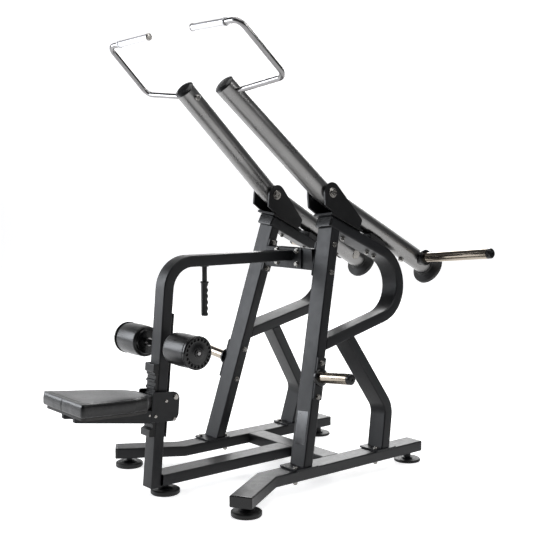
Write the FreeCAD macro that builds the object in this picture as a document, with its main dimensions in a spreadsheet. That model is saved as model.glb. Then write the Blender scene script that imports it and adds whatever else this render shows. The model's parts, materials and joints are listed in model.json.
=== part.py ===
import FreeCAD, Part
import Sketcher
import math
import os

# Lat pulldown machine with two independent lever arms, an adjustable seat and thigh rollers.
# Millimetres, +Z up, floor at z = 0, mirror plane x = 0, the user sits at the -Y end facing +Y.

os.makedirs("parts", exist_ok=True)
doc = FreeCAD.newDocument("LatPulldown")
V = FreeCAD.Vector
Placement = FreeCAD.Placement
Rotation = FreeCAD.Rotation

SIZES = [
    # square tube stock
    ("tube_wide", 100.0), ("tube_deep", 50.0), ("tube_wall", 3.0), ("tube_round", 6.0),
    # base frame
    ("track_half", 325.5), ("beam_under", 48.0), ("beam_rear", 500.0), ("bend_at", 432.0),
    ("toe_run", 309.0), ("toe_angle", 31.3), ("cross_rear", 42.0), ("cap_thick", 10.0),
    ("pad_plate", 8.0), ("foot_radius", 65.0), ("foot_neck", 34.0),
    # leaning side frames
    ("side_lean", 6.0), ("upright_foot", 236.0), ("upright_lean", 14.14),
    ("beam_slope", 24.8), ("run_slope", 13.55), ("loop_y", 264.0), ("loop_z", 783.7),
    ("loop_radius", 166.0), ("beam_front", 8.0), ("leg_bend_y", 299.0), ("leg_bend_z", 194.0),
    ("leg_radius", 100.0), ("leg_high_slope", 32.5), ("leg_low_slope", 12.5),
    # centre beam, post and cross tube
    ("post_wide", 75.0), ("post_lean", 5.0), ("post_corner", 727.7), ("top_level", 1016.0),
    ("post_radius", 125.0), ("post_foot_z", 43.0), ("tie_y", 10.0), ("tie_drop", 13.0),
    # levers
    ("pivot_y", 10.0), ("pivot_z", 1216.0), ("lever_dia", 95.0), ("lever_wall", 4.0),
    ("front_slope", 41.5), ("rear_slope", 28.8), ("front_arm", 710.0), ("rear_arm", 745.0),
    ("lever_bend", 300.0), ("pin_dia", 24.0), ("bush_dia", 60.0), ("cheek_thick", 10.0),
    ("cheek_gap", 105.0), ("bumper_radius", 85.0), ("bumper_deep", 40.0),
    ("horn_dia", 50.0), ("horn_step", 1.0), ("horn_at", 676.0), ("horn_out", 455.0), ("store_out", 245.0),
    ("store_z", 388.0), ("bar_dia", 25.0), ("grip_dia", 30.0), ("bar_at", 664.0),
    ("bar_reach", 362.0), ("bar_rise", 205.0), ("stop_start", 255.0), ("stop_end", 345.0),
    # seat, rack and thigh rollers
    ("seat_front", 1236.0), ("seat_top", 494.0), ("seat_thick", 58.0), ("seat_long", 392.0),
    ("seat_half", 175.0), ("board_thick", 12.0), ("rack_half", 34.0), ("rack_pitch", 30.0),
    ("tooth_tip", 18.0), ("tooth_root", 12.0), ("rail_deep", 24.0), ("guide_dia", 14.0),
    ("roller_dia", 142.0), ("roller_level", 659.0), ("roller_in", 105.0),
    ("roller_out", 280.0), ("axle_dia", 25.0),
    # fits
    ("run_fit", 0.05), ("side_fit", 0.3), ("bolt_fit", 0.2),
]

sheet = doc.addObject("Spreadsheet::Sheet", "Sizes")
size = {}
for row, (alias, number) in enumerate(SIZES, start=1):
    sheet.set("A%d" % row, str(number))
    sheet.setAlias("A%d" % row, alias)
    size[alias] = number
doc.recompute()


def val(alias):
    return size[alias]


def bind(obj, prop, formula):
    """Tie a property to the sheet, every name in the formula being a sheet alias."""
    text = formula
    for alias in sorted(size, key=len, reverse=True):
        text = text.replace("<" + alias + ">", "Sizes." + alias)
    obj.setExpression(prop, text)


# ---------------------------------------------------------------- frames of reference

def tan(angle):
    return math.tan(math.radians(angle))


def sin(angle):
    return math.sin(math.radians(angle))


def cos(angle):
    return math.cos(math.radians(angle))


TOE = val("tube_deep") + val("beam_under")
FRONT_Y = -val("seat_front") - val("seat_thick") * sin(val("post_lean"))
REAR_Y = (val("pivot_y") + (val("rear_arm") + val("bumper_deep")) * cos(val("rear_slope"))
          + val("bumper_radius") * sin(val("rear_slope")))
MID_Y = (FRONT_Y + REAR_Y) / 2.0
UP = V(0, 0, 1)
GROUND = Placement(V(0, -MID_Y, 0), Rotation())
SIDE = {}
for hand in (1, -1):
    SIDE[hand] = Placement(V(hand * val("track_half"), -MID_Y, TOE),
                           Rotation(V(0, 1, 0), -hand * val("side_lean")))
SEAT = Placement(V(0, -val("seat_front") - MID_Y, val("seat_top")),
                 Rotation(V(1, 0, 0), -val("post_lean")))


def spot(frame, x, y, z, axis=UP):
    return frame.multiply(Placement(V(x, y, z), Rotation(UP, axis)))


# ---------------------------------------------------------------- outlines and bodies

def corner_edges(points, closed):
    """Lines through (x, y, radius) corners, each corner with a radius rounded by an arc."""
    count = len(points)
    starts = []
    arcs = []
    for i in range(count):
        x, y = points[i][0], points[i][1]
        radius = points[i][2] if len(points[i]) > 2 else 0.0
        here = V(x, y, 0)
        if radius <= 0 or (not closed and i in (0, count - 1)):
            starts.append((here, here))
            arcs.append(None)
            continue
        before = V(points[i - 1][0], points[i - 1][1], 0)
        after = V(points[(i + 1) % count][0], points[(i + 1) % count][1], 0)
        a = (before - here).normalize()
        b = (after - here).normalize()
        half = a.getAngle(b) / 2.0
        reach = radius / math.tan(half)
        middle = here + (a + b).normalize() * (radius / math.sin(half))
        first = here + a * reach
        last = here + b * reach
        turn = -(a.cross(b)).z
        one, two = (first, last) if turn > 0 else (last, first)
        angle_one = math.atan2(one.y - middle.y, one.x - middle.x)
        angle_two = math.atan2(two.y - middle.y, two.x - middle.x)
        arcs.append(Part.ArcOfCircle(Part.Circle(middle, UP, radius), angle_one, angle_two))
        starts.append((first, last))
    edges = []
    for i in range(count):
        if arcs[i] is not None:
            edges.append(arcs[i])
        if i < count - 1 or closed:
            p = starts[i][1]
            q = starts[(i + 1) % count][0]
            if (q - p).Length > 1e-4:
                edges.append(Part.LineSegment(p, q))
    return edges


def new_body(name, placement):
    body = doc.addObject("PartDesign::Body", name)
    body.Placement = placement
    return body


def new_sketch(body, name, role, lift=0.0):
    sketch = body.newObject("Sketcher::SketchObject", name)
    plane = [f for f in body.Origin.OriginFeatures if f.Role == role][0]
    sketch.AttachmentSupport = [(plane, "")]
    sketch.MapMode = "FlatFace"
    sketch.AttachmentOffset = Placement(V(0, 0, lift), Rotation())
    return sketch


def draw(sketch, points, closed=True):
    for edge in corner_edges(points, closed):
        sketch.addGeometry(edge)


def ring(sketch, radius_formula, radius):
    index = sketch.addGeometry(Part.Circle(V(0, 0, 0), UP, radius))
    sketch.addConstraint(Sketcher.Constraint("Coincident", index, 3, -1, 1))
    where = sketch.addConstraint(Sketcher.Constraint("Radius", index, radius))
    if radius_formula:
        bind(sketch, "Constraints[%d]" % where, radius_formula)


def rounded_box(sketch, wide, wide_formula, deep, deep_formula, radius):
    """Centred rectangle with round corners, both sizes bound to the sheet."""
    base = len(sketch.Geometry)
    corners = [(-wide / 2, -deep / 2, radius), (wide / 2, -deep / 2, radius),
               (wide / 2, deep / 2, radius), (-wide / 2, deep / 2, radius)]
    draw(sketch, corners)
    arcs = [base + 2 * i for i in range(4)]
    for i in range(8):
        sketch.addConstraint(Sketcher.Constraint("Tangent", base + i, 2,
                                                 base + (i + 1) % 8, 1))
    for i, word in ((1, "Horizontal"), (5, "Horizontal"), (3, "Vertical"), (7, "Vertical")):
        sketch.addConstraint(Sketcher.Constraint(word, base + i))
    for other in arcs[1:]:
        sketch.addConstraint(Sketcher.Constraint("Equal", arcs[0], other))
    sketch.addConstraint(Sketcher.Constraint("Radius", arcs[0], radius))
    sketch.addConstraint(Sketcher.Constraint("Symmetric", arcs[0], 3, arcs[2], 3, -1, 1))
    across = sketch.addConstraint(Sketcher.Constraint("DistanceX", base + 7, 1, base + 3, 1, wide))
    upward = sketch.addConstraint(Sketcher.Constraint("DistanceY", base + 1, 1, base + 5, 1, deep))
    bind(sketch, "Constraints[%d]" % across, wide_formula)
    bind(sketch, "Constraints[%d]" % upward, deep_formula)


def pad(body, name, sketch, length, formula=None, midplane=False):
    feature = body.newObject("PartDesign::Pad", name)
    feature.Profile = sketch
    feature.Length = length
    feature.Midplane = midplane
    if formula:
        bind(feature, "Length", formula)
    return feature


def slab(name, placement, points, thick, formula=None, midplane=True, role="YZ_Plane", lift=0.0):
    """Flat plate: an outline in one plane of the frame, padded across it."""
    body = new_body(name, placement)
    sketch = new_sketch(body, name + "_outline", role, lift)
    draw(sketch, points)
    pad(body, name + "_pad", sketch, thick, formula, midplane)
    return body


def turned(name, placement, points):
    """Solid of revolution about the local Z axis from (radius, height) corners."""
    body = new_body(name, placement)
    sketch = new_sketch(body, name + "_profile", "XZ_Plane")
    draw(sketch, points)
    feature = body.newObject("PartDesign::Revolution", name + "_turn")
    feature.Profile = sketch
    feature.ReferenceAxis = (sketch, ["V_Axis"])
    feature.Angle = 360.0
    return body


def rod(name, placement, radius, length, formula=None):
    obj = doc.addObject("Part::Cylinder", name)
    obj.Radius = radius
    obj.Height = length
    if formula:
        bind(obj, "Radius", formula)
    obj.Placement = placement
    return obj


def block(name, placement, x, y, z):
    """Box centred in x, starting at y = 0 and z = 0 of its placement."""
    obj = doc.addObject("Part::Box", name)
    obj.Length = x
    obj.Width = y
    obj.Height = z
    obj.Placement = placement.multiply(Placement(V(-x / 2.0, 0, 0), Rotation()))
    return obj


def fuse(name, pieces):
    obj = doc.addObject("Part::MultiFuse", name)
    obj.Shapes = pieces
    return obj


def gather(name, pieces):
    obj = doc.addObject("Part::Compound", name)
    obj.Links = pieces
    return obj


def cut(name, base, tools):
    tool = tools[0] if len(tools) == 1 else fuse(name + "_tools", tools)
    obj = doc.addObject("Part::Cut", name)
    obj.Base = base
    obj.Tool = tool
    return obj


def knife(name, frame, y, z, normal):
    """Big block lying on the far side of a plane given in the frame's YZ plane."""
    reach = 300.0
    place = frame.multiply(Placement(V(0, y, z), Rotation(UP, V(0, normal[0], normal[1]))))
    place = place.multiply(Placement(V(0, -reach / 2, 0), Rotation()))
    return block(name, place, reach, reach, reach)


def box_tube(name, frame, points, wide_name="tube_wide", hollow=True):
    """Rectangular tube swept along (y, z, bend radius) corners of the frame's YZ plane."""
    y0, z0 = points[0][0], points[0][1]
    heading = math.atan2(points[1][1] - z0, points[1][0] - y0)
    local = []
    for point in points:
        dy = point[0] - y0
        dz = point[1] - z0
        along = dy * math.cos(heading) + dz * math.sin(heading)
        aside = -dy * math.sin(heading) + dz * math.cos(heading)
        local.append((along, aside, point[2] if len(point) > 2 else 0.0))
    turn = Rotation(V(1, 0, 0), math.degrees(heading))
    body = new_body(name, frame.multiply(Placement(V(0, y0, z0), turn)))
    spine = new_sketch(body, name + "_spine", "YZ_Plane")
    draw(spine, local, closed=False)
    profile = new_sketch(body, name + "_profile", "XZ_Plane")
    wall = val("tube_wall")
    rounded_box(profile, val(wide_name), "<%s>" % wide_name,
                val("tube_deep"), "<tube_deep>", val("tube_round"))
    if hollow:
        rounded_box(profile, val(wide_name) - 2 * wall, "<%s> - 2 * <tube_wall>" % wide_name,
                    val("tube_deep") - 2 * wall, "<tube_deep> - 2 * <tube_wall>",
                    val("tube_round") - wall)
    doc.recompute()
    pipe = body.newObject("PartDesign::AdditivePipe", name + "_pipe")
    pipe.Profile = profile
    pipe.Spine = (spine, ["Edge%d" % (i + 1) for i in range(len(spine.Geometry))])
    return body


def round_bar(name, frame, points, bend, formula):
    """Bent round bar through 3-D corner points, each inner corner rounded by the bend radius."""
    edges = []
    last = points[0]
    for i in range(1, len(points) - 1):
        here = points[i]
        a = (points[i - 1] - here).normalize()
        b = (points[i + 1] - here).normalize()
        half = a.getAngle(b) / 2.0
        first = here + a * (bend / math.tan(half))
        final = here + b * (bend / math.tan(half))
        bisector = (a + b).normalize()
        middle = here + bisector * (bend / math.sin(half))
        top = middle - bisector * bend
        edges.append(Part.LineSegment(last, first).toShape())
        edges.append(Part.Arc(first, top, final).toShape())
        last = final
    edges.append(Part.LineSegment(last, points[-1]).toShape())
    spine = doc.addObject("Part::Feature", name + "_spine")
    spine.Shape = Part.Wire(edges)
    spine.Placement = frame
    section = doc.addObject("Part::Circle", name + "_section")
    bind(section, "Radius", formula)
    section.Placement = spot(frame, points[0].x, points[0].y, points[0].z, points[1] - points[0])
    doc.recompute()
    bar = doc.addObject("Part::Sweep", name)
    bar.Sections = [section]
    bar.Spine = (spine, ["Edge%d" % (i + 1) for i in range(len(edges))])
    bar.Solid = True
    return bar


# ---------------------------------------------------------------- fasteners

def bolt(name, place, grip, dia, nut=True, head=True):
    """Hex bolt whose head sits on the plane at place, its shank running down local -Z."""
    washer = 0.18 * dia
    tail = washer + 0.8 * dia + 0.25 * dia if nut else 0.0
    pieces = []
    shank = rod(name + "_shank", place.multiply(Placement(V(0, 0, -grip - tail), Rotation())),
                dia / 2.0, grip + tail)
    pieces.append(shank)
    if head:
        pieces.append(rod(name + "_washer", place, dia, washer))
        hexagon = doc.addObject("Part::Prism", name + "_head")
        hexagon.Polygon = 6
        hexagon.Circumradius = 0.87 * dia
        hexagon.Height = 0.65 * dia
        hexagon.Placement = place.multiply(Placement(V(0, 0, washer), Rotation()))
        pieces.append(hexagon)
    if nut:
        low = place.multiply(Placement(V(0, 0, -grip - washer), Rotation()))
        pieces.append(rod(name + "_under", low, dia, washer))
        hexagon = doc.addObject("Part::Prism", name + "_nut")
        hexagon.Polygon = 6
        hexagon.Circumradius = 0.87 * dia
        hexagon.Height = 0.8 * dia
        hexagon.Placement = place.multiply(Placement(V(0, 0, -grip - washer - 0.8 * dia),
                                                     Rotation()))
        pieces.append(hexagon)
    return fuse(name, pieces)


def drill(name, place, depth, dia):
    """Tool for the clearance hole of a bolt placed the same way."""
    low = place.multiply(Placement(V(0, 0, -depth - 1.0), Rotation()))
    return rod(name, low, dia / 2.0 + val("bolt_fit"), depth + 2.0)


nodes = []


def node(obj, label):
    obj.Label = label
    nodes.append(obj)
    return obj


frame_bolts = []
tube_caps = []
HAND = {1: "right", -1: "left"}
M12 = 12.0

# ---------------------------------------------------------------- base frame

half_wide = val("tube_wide") / 2.0
half_deep = val("tube_deep") / 2.0
wall = val("tube_wall")
beam_mid = val("beam_under") + half_deep
plate_top = TOE + val("pad_plate")


def toe_outline(hand, half, extra):
    """Plan outline of a dog-leg side beam, inset or full width, with its ends run out."""
    turn = val("toe_angle")
    mitre = half * tan(turn / 2.0)
    run = val("toe_run") + extra
    x0 = val("track_half")
    tip = (x0 + run * sin(turn), -val("bend_at") - run * cos(turn))
    side_x = half * cos(turn)
    side_y = half * sin(turn)
    inner = [(x0 - half, val("beam_rear") + extra), (x0 - half, -val("bend_at") - mitre),
             (tip[0] - side_x, tip[1] - side_y)]
    outer = [(tip[0] + side_x, tip[1] + side_y), (x0 + half, -val("bend_at") + mitre),
             (x0 + half, val("beam_rear") + extra)]
    return [(hand * x, y) for x, y in inner + outer]


def end_cap(name, place):
    """Plastic cap on a rectangular tube end, local +Z pointing out of the tube."""
    body = new_body(name, place)
    face = new_sketch(body, name + "_face", "XY_Plane")
    rounded_box(face, val("tube_wide"), "<tube_wide>", val("tube_deep"), "<tube_deep>",
                val("tube_round"))
    pad(body, name + "_lid", face, val("cap_thick"), "<cap_thick>")
    doc.recompute()
    rim = body.newObject("PartDesign::Fillet", name + "_rim")
    lid = doc.getObject(name + "_lid").Shape
    names = []
    for index, edge in enumerate(lid.Edges, start=1):
        if all(abs(v.Z - val("cap_thick")) < 1e-6 for v in edge.Vertexes):
            names.append("Edge%d" % index)
    rim.Base = (doc.getObject(name + "_lid"), names)
    rim.Radius = 4.0
    doc.recompute()
    plug = new_sketch(body, name + "_plug_face", "XY_Plane")
    inner_wide = val("tube_wide") - 2 * wall - 0.4
    inner_deep = val("tube_deep") - 2 * wall - 0.4
    draw(plug, [(-inner_wide / 2, -inner_deep / 2, 2.5), (inner_wide / 2, -inner_deep / 2, 2.5),
                (inner_wide / 2, inner_deep / 2, 2.5), (-inner_wide / 2, inner_deep / 2, 2.5)])
    core = pad(body, name + "_plug", plug, 14.0)
    core.Reversed = True
    return body


def base_bolt(name, hand, x, y):
    place = spot(GROUND, hand * x, y, plate_top)
    grip = val("pad_plate") + val("tube_deep")
    frame_bolts.append(bolt(name, place, grip, M12))
    return drill(name + "_hole", place, grip, M12)


track = val("track_half")
plate_spots = {"upright": (track + 1.5, -314.0, -181.0, ((31.0, 17.0), (-31.0, 121.0))),
               "leg": (track - 3.0, 190.0, 322.0, ((31.0, 18.0), (-31.0, 115.0)))}
foot_plates = []
for hand in (1, -1):
    word = HAND[hand]
    raw = new_body("side_beam_raw_" + word, spot(GROUND, 0, 0, beam_mid))
    plan = new_sketch(raw, "side_beam_plan_" + word, "XY_Plane")
    draw(plan, toe_outline(hand, half_wide, 0.0))
    pad(raw, "side_beam_pad_" + word, plan, val("tube_deep"), "<tube_deep>", True)
    doc.recompute()
    solid = doc.getObject("side_beam_pad_" + word).Shape
    long_edges = []
    for index, edge in enumerate(solid.Edges, start=1):
        level = all(abs(abs(v.Z) - half_deep) < 1e-6 for v in edge.Vertexes)
        if level and edge.Length > 2 * val("tube_wide") and edge.Vertexes[0].Z * edge.Vertexes[1].Z > 0:
            long_edges.append("Edge%d" % index)
    soften = raw.newObject("PartDesign::Fillet", "side_beam_round_" + word)
    soften.Base = (doc.getObject("side_beam_pad_" + word), long_edges)
    soften.Radius = val("tube_round")
    bind(soften, "Radius", "<tube_round>")
    doc.recompute()
    hollow_plan = new_sketch(raw, "side_beam_void_plan_" + word, "XY_Plane")
    draw(hollow_plan, toe_outline(hand, half_wide - wall, 1.0))
    void = raw.newObject("PartDesign::Pocket", "side_beam_void_" + word)
    void.Profile = hollow_plan
    void.Length = val("tube_deep") - 2 * wall
    void.Midplane = True
    bind(void, "Length", "<tube_deep> - 2 * <tube_wall>")

    holes = []
    for key, (mid_x, y_front, y_rear, bolts_at) in plate_spots.items():
        plate = slab("%s_plate_%s" % (key, word), spot(GROUND, hand * mid_x, 0, TOE),
                     [(-60, y_front, 8), (60, y_front, 8), (60, y_rear, 8), (-60, y_rear, 8)],
                     val("pad_plate"), "<pad_plate>", False, "XY_Plane")
        plate_holes = []
        for i, (dx, dy) in enumerate(bolts_at):
            name = "%s_bolt_%s_%d" % (key, word, i)
            plate_holes.append(base_bolt(name, hand, mid_x + dx, y_front + dy))
        holes += plate_holes
        foot_plates.append(cut("%s_plate_drilled_%s" % (key, word), plate, plate_holes))
    node(cut("side_beam_drilled_" + word, raw, holes), "side_beam_" + word)

    turn = val("toe_angle")
    toe_x = track + val("toe_run") * sin(turn)
    toe_y = -val("bend_at") - val("toe_run") * cos(turn)
    toe_turn = Rotation(V(0, 0, 1), hand * turn).multiply(Rotation(V(1, 0, 0), 90))
    toe_place = GROUND.multiply(Placement(V(hand * toe_x, toe_y, beam_mid), toe_turn))
    tube_caps.append(end_cap("toe_cap_" + word, toe_place))
    heel_place = GROUND.multiply(Placement(V(hand * track, val("beam_rear"), beam_mid),
                                           Rotation(V(1, 0, 0), -90)))
    tube_caps.append(end_cap("heel_cap_" + word, heel_place))

node(gather("foot_plate_group", foot_plates), "foot_plates")

# cross beam and centre beam of the base
cross_y = val("cross_rear") - half_wide
inner_face = track - half_wide
cross = new_body("cross_beam_body", GROUND.multiply(
    Placement(V(0, cross_y, beam_mid), Rotation(V(0, 0, 1), 90))))
profile = new_sketch(cross, "cross_beam_profile", "XZ_Plane")
rounded_box(profile, val("tube_wide"), "<tube_wide>", val("tube_deep"), "<tube_deep>",
            val("tube_round"))
rounded_box(profile, val("tube_wide") - 2 * wall, "<tube_wide> - 2 * <tube_wall>",
            val("tube_deep") - 2 * wall, "<tube_deep> - 2 * <tube_wall>",
            val("tube_round") - wall)
pad(cross, "cross_beam_pad", profile, 2 * inner_face, "2 * <track_half> - <tube_wide>", True)
node(cross, "cross_beam")

lean = val("post_lean")
post_shift = half_deep / cos(lean)


def post_mid_y(z):
    return -val("post_corner") - (val("top_level") - z) * tan(lean)


centre_front = post_mid_y(beam_mid) + post_shift
centre = box_tube("centre_beam_body", GROUND,
                  [(cross_y - half_wide, beam_mid), (centre_front - 40.0, beam_mid)])
node(cut("centre_beam_trim", centre,
         [knife("centre_beam_knife", GROUND, centre_front, beam_mid, (-cos(lean), sin(lean)))]),
     "centre_beam")

# feet: three thick rubber discs on stems, two thin discs on risers
foot_r = val("foot_radius")
under = val("beam_under")
pad_high = 22.0
cushion_foot = [(0, 0), (foot_r - 3, 0), (foot_r, 4), (foot_r, pad_high - 4, 3),
                (foot_r - 6, pad_high, 2), (0, pad_high)]
stem = [(0, 0), (val("foot_neck"), 0), (val("foot_neck"), 3, 2), (22, 7, 3), (14, 8),
        (14, under - pad_high), (0, under - pad_high)]
disc = [(0, 0), (foot_r - 3, 0), (foot_r, 4), (foot_r - 3, 12, 2), (0, 12)]
along_toe = 253.0
feet = []
risers = []
for hand in (1, -1):
    word = HAND[hand]
    x = hand * (track + along_toe * sin(val("toe_angle")))
    y = -val("bend_at") - along_toe * cos(val("toe_angle"))
    feet.append(turned("toe_foot_" + word, spot(GROUND, x, y, 0), cushion_foot))
    risers.append(turned("toe_stem_" + word, spot(GROUND, x, y, pad_high), stem))
    feet.append(turned("heel_foot_" + word, spot(GROUND, hand * track, 459.0, 0), disc))
    risers.append(turned("heel_riser_" + word, spot(GROUND, hand * track, 459.0, 12.0),
                         [(0, 0), (26, 0), (26, 4), (17, 7), (17, under - 12), (0, under - 12)]))
post_foot_y = post_mid_y(under) + 69.4
feet.append(turned("post_foot", spot(GROUND, 0, post_foot_y, 0), cushion_foot))
risers.append(turned("post_stem", spot(GROUND, 0, post_foot_y, pad_high), stem))
node(gather("feet_group", feet), "feet")
node(gather("riser_group", risers), "foot_risers")

# ---------------------------------------------------------------- side frames

slope = val("beam_slope")
run = val("run_slope")
loop_r = val("loop_radius")
high = (val("loop_y") + loop_r * sin(slope), val("loop_z") + loop_r * cos(slope))
low = (val("loop_y") + loop_r * sin(run), val("loop_z") - loop_r * cos(run))


def beam_mid_z(y):
    return high[1] + (high[0] - y) * tan(slope)


def beam_top_z(y):
    return beam_mid_z(y) + half_deep / cos(slope)


def lever_under_z(y):
    drop = (y - val("pivot_y")) * tan(val("rear_slope"))
    return val("pivot_z") - drop - val("lever_dia") / 2.0 / cos(val("rear_slope"))


upright_lean = val("upright_lean")


def upright_mid_y(z):
    return -val("upright_foot") + z * tan(upright_lean)


rear_shift = half_deep / cos(upright_lean)
BEAM = {}
for hand in (1, -1):
    BEAM[hand] = SIDE[hand].multiply(Placement(V(0, val("beam_front"),
                                                 beam_mid_z(val("beam_front"))),
                                               Rotation(V(1, 0, 0), -slope)))
UPRIGHT = {}
for hand in (1, -1):
    UPRIGHT[hand] = SIDE[hand].multiply(Placement(V(0, upright_mid_y(0), 0),
                                                  Rotation(V(1, 0, 0), -upright_lean)))

tie_level = val("top_level") - val("tie_drop")
plate_dip = (half_wide + val("pad_plate")) * sin(val("side_lean"))
tie_z = (tie_level - TOE + plate_dip) / cos(val("side_lean"))
store_strips = []
store_collars = []
store_bars = []
stops = []
pivot_bolts = []
bracket_bolt_y = (32.0, 124.0)
stop_bolt_y = (276.0, 320.0)
cap_profile = [(0, 0), (24.3, 0), (24.3, 13, 3), (21, 17, 3), (7, 17), (7, 14), (0, 14)]
store_r = val("horn_dia") / 2.0
store_root = store_r - val("horn_step")
store_stop = 15.0

for hand in (1, -1):
    word = HAND[hand]
    side = SIDE[hand]
    beam = BEAM[hand]
    upright_frame = UPRIGHT[hand]

    # upright, from its base plate to the underside of the upper beam
    top_z = beam_mid_z(10.0) + 40.0
    tube = box_tube("upright_tube_" + word, side,
                    [(upright_mid_y(-30.0), -30.0), (upright_mid_y(top_z), top_z)])
    flat = knife("upright_floor_" + word, spot(GROUND, hand * track, 0, 0), upright_mid_y(0),
                 plate_top, (0, -1))
    roof = knife("upright_roof_" + word, beam, 0, -half_deep, (0, 1))
    tie_bolts = []
    for i, z in enumerate((tie_z + 63.0, tie_z - 63.0)):
        place = spot(upright_frame, hand * half_wide, 0, z / cos(upright_lean), V(hand, 0, 0))
        grip = val("tube_wide") + val("pad_plate")
        frame_bolts.append(bolt("tie_bolt_%s_%d" % (word, i), place, grip, M12))
        tie_bolts.append((place, grip))
    strip_low, strip_high = val("store_z") - 98.0, val("store_z") + 87.0
    store_bolts = []
    for i, z in enumerate((val("store_z") - 85.0, val("store_z") + 62.0)):
        place = spot(upright_frame, hand * (half_wide + val("pad_plate")), 0, z / cos(upright_lean),
                     V(hand, 0, 0))
        frame_bolts.append(bolt("store_bolt_%s_%d" % (word, i), place,
                                val("pad_plate") + val("tube_wide"), M12))
        store_bolts.append(place)
    holes = [drill("tie_hole_%s_%d" % (word, i), place, grip, M12)
             for i, (place, grip) in enumerate(tie_bolts)]
    holes += [drill("store_hole_%s_%d" % (word, i), place,
                    val("pad_plate") + val("tube_wide"), M12)
              for i, place in enumerate(store_bolts)]
    node(cut("upright_cut_" + word, tube, [flat, roof] + holes), "upright_" + word)

    # upper beam and rear loop, one bent tube ending on the back of the upright
    half_arc = math.radians((180.0 - slope - run) / 2.0)
    path_start = (val("beam_front"), beam_mid_z(val("beam_front")))
    run_end = (low[0] - 430.0 * cos(run), low[1] - 430.0 * sin(run))
    reach = loop_r * math.tan(half_arc)
    corner = (high[0] + reach * cos(slope), high[1] - reach * sin(slope))
    tube = box_tube("loop_raw_" + word, side,
                    [path_start, (corner[0], corner[1], loop_r), run_end])
    behind = knife("loop_knife_" + word, upright_frame, half_deep, 540.0, (-1, 0))
    holes = []
    for i, y in enumerate(bracket_bolt_y):
        a = (y - val("beam_front")) / cos(slope)
        place = spot(beam, 0, a, half_deep + val("cheek_thick"))
        through = i > 0
        grip = val("cheek_thick") + (val("tube_deep") if through else 12.0)
        frame_bolts.append(bolt("bracket_bolt_%s_%d" % (word, i), place, grip, M12, through))
        holes.append(drill("bracket_hole_%s_%d" % (word, i), place, grip, M12))
    for i, y in enumerate(stop_bolt_y):
        a = (y - val("beam_front")) / cos(slope)
        place = spot(beam, 0, a, half_deep)
        frame_bolts.append(bolt("stop_bolt_%s_%d" % (word, i), place, val("tube_deep"), M12,
                                True, False))
        holes.append(drill("stop_hole_%s_%d" % (word, i), place, val("tube_deep"), M12))
    node(cut("loop_cut_" + word, tube, [behind] + holes), "loop_tube_" + word)
    nose = beam.multiply(Placement(V(0, 0, 0), Rotation(V(1, 0, 0), 90)))
    tube_caps.append(end_cap("nose_cap_" + word, nose))

    # rear leg, kinked, from the underside of the lower run to its base plate
    kink = (val("leg_bend_y"), val("leg_bend_z"))
    high_s, low_s = val("leg_high_slope"), val("leg_low_slope")
    tube = box_tube("leg_tube_" + word, side,
                    [(kink[0] - 480.0 * sin(high_s), kink[1] + 480.0 * cos(high_s)),
                     (kink[0], kink[1], val("leg_radius")),
                     (kink[0] - 240.0 * sin(low_s), kink[1] - 240.0 * cos(low_s))])
    head = knife("leg_head_" + word, side, low[0] - 200 * cos(run) + half_deep * sin(run),
                 low[1] - 200 * sin(run) - half_deep * cos(run), (-sin(run), cos(run)))
    sole = knife("leg_sole_" + word, spot(GROUND, hand * track, 0, 0), 250.0, plate_top, (0, -1))
    node(cut("leg_cut_" + word, tube, [head, sole]), "leg_" + word)

    # lever bracket: flange on the beam and two cheeks round the pivot
    p_y, p_z = val("pivot_y"), val("pivot_z")
    eye = 48.0
    tangent = 48.5
    flange_top = val("cheek_thick") / cos(slope)
    peak = p_y + eye * math.tan(math.radians(tangent / 2.0))
    tail_z = 1087.0
    tail_y = p_y + eye * sin(tangent) + (p_z + eye * cos(tangent) - tail_z) / tan(tangent)
    cheek = [(p_y - eye, p_z - 58.0, 8), (p_y - eye, p_z + eye, eye), (peak, p_z + eye, eye),
             (tail_y, tail_z, 12), (170.0, beam_top_z(170.0) + flange_top, 6),
             (22.0, beam_top_z(22.0) + flange_top, 15)]
    half_gap = val("cheek_gap") / 2.0
    thick = val("cheek_thick")
    cheeks = [slab("cheek_out_" + word, side, cheek, thick, "<cheek_thick>", False,
                   "YZ_Plane", half_gap),
              slab("cheek_in_" + word, side, cheek, thick, "<cheek_thick>", False,
                   "YZ_Plane", -half_gap - thick)]
    start_a = (-15.0 - val("beam_front")) / cos(slope)
    flange_len = (172.0 + 15.0) / cos(slope)
    flange = block("flange_" + word, spot(beam, 0, start_a, half_deep),
                   val("cheek_gap") + 2 * thick, flange_len, thick)
    pin_r = val("pin_dia") / 2.0
    outer = half_gap + thick
    tools = [rod("pivot_bore_" + word, spot(side, -outer - 1, p_y, p_z, V(1, 0, 0)), pin_r,
                 2 * outer + 2, "<pin_dia> / 2")]
    for i, y in enumerate(bracket_bolt_y):
        a = (y - val("beam_front")) / cos(slope)
        tools.append(drill("flange_hole_%s_%d" % (word, i),
                           spot(beam, 0, a, half_deep + thick), thick, M12))
    node(cut("bracket_cut_" + word, fuse("bracket_weld_" + word, cheeks + [flange]), tools),
         "lever_bracket_" + word)
    head_profile = [(0, 0), (23, 0), (23, 3, 1), (17, 4), (17, 11, 2), (8, 11), (8, 7), (0, 7)]
    pin = rod("pivot_pin_" + word, spot(side, -outer, p_y, p_z, V(1, 0, 0)), pin_r, 2 * outer,
              "<pin_dia> / 2")
    ends = [turned("pivot_head_%s_%d" % (word, i), spot(side, way * outer, p_y, p_z, V(way, 0, 0)),
                   head_profile) for i, way in enumerate((1, -1))]
    pivot_bolts.append(fuse("pivot_bolt_" + word, [pin] + ends))

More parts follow.
